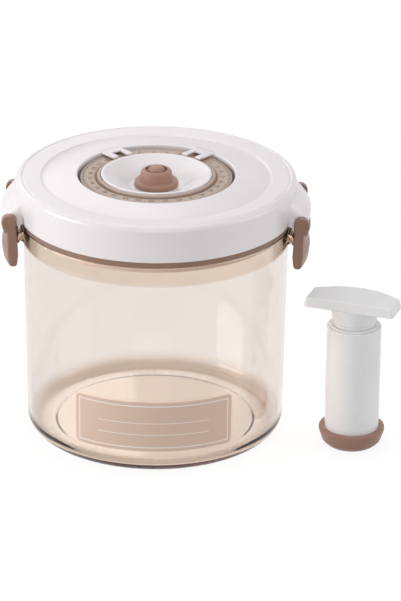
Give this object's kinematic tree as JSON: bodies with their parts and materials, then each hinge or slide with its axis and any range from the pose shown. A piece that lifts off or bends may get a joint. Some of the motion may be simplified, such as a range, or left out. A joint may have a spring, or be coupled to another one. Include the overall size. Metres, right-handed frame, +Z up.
{
  "type": "vacuum seal canister",
  "caption": "Round clear food canister with a latched white lid, date dial, silicone release valve and a separate hand vacuum pump.",
  "frame": {"origin": "centre of the canister's foot ring, on the surface it stands on", "axes": "+Z up along the canister's axis, the latches on +X and -X, the label on -Y, the pump on the +X side"},
  "size_m": [0.2564, 0.1792, 0.1779],
  "materials": {
    "clear_tan": "clear, faintly tan, polished",
    "white_gloss": "glossy white moulding",
    "taupe_satin": "satin taupe moulding",
    "taupe_silicone": "soft matt taupe silicone",
    "taupe_label": "matt printed film",
    "steel": "bright steel"
  },
  "bodies": {
    "container": {"canister_body": "clear_tan", "front_label": "taupe_label"},
    "lid": {"lid_cover": "white_gloss", "lid_base": "white_gloss", "lid_gasket": "taupe_silicone", "valve_boot": "taupe_silicone", "release_spring": "steel", "right_latch_pin": "steel", "left_latch_pin": "steel"},
    "dial": {"dial_ring": "taupe_satin"},
    "button": {"release_button": "taupe_silicone", "release_seal": "taupe_silicone", "release_clip": "steel"},
    "right_latch": {"right_latch_lever": "taupe_satin"},
    "left_latch": {"left_latch_lever": "taupe_satin"},
    "pump": {"pump_barrel": "white_gloss", "pump_cup": "taupe_silicone", "pump_cap": "white_gloss", "intake_flap": "taupe_silicone"},
    "plunger": {"pump_handle": "white_gloss", "pump_rod": "white_gloss", "pump_piston": "white_gloss", "piston_ring": "taupe_silicone", "piston_screw": "steel"}
  },
  "joints": [
    {"name": "lid_lift", "type": "slide", "parent": "container", "child": "lid", "axis": [0, 0, 1], "range_m": [0, 0.024]},
    {"name": "right_latch_swing", "type": "hinge", "parent": "lid", "child": "right_latch", "pos_m": [0.0927, 0, 0.1508], "axis": [0, -1, 0], "range_deg": [0, 100.5]},
    {"name": "left_latch_swing", "type": "hinge", "parent": "lid", "child": "left_latch", "pos_m": [-0.0927, 0, 0.1508], "axis": [0, 1, 0], "range_deg": [0, 100.5]},
    {"name": "dial_turn", "type": "hinge", "parent": "lid", "child": "dial", "pos_m": [0, 0, 0.1696], "axis": [0, 0, 1], "continuous": true},
    {"name": "button_press", "type": "slide", "parent": "lid", "child": "button", "axis": [0, 0, -1], "range_m": [0, 0.0025], "stiffness_N_per_m": 400, "deforming": ["release_spring"]},
    {"name": "pump_pickup", "type": "slide", "parent": "container", "child": "pump", "axis": [0.6, 0, 0.8], "range_m": [0, 0.08]},
    {"name": "pump_stroke", "type": "slide", "parent": "pump", "child": "plunger", "axis": [0, 0, 1], "range_m": [0, 0.042]}
  ],
  "couplings": [
    {"joint": "right_latch_swing", "follows": "lid_lift", "rad_per_m": 72.722},
    {"joint": "left_latch_swing", "follows": "lid_lift", "rad_per_m": 72.722}
  ]
}
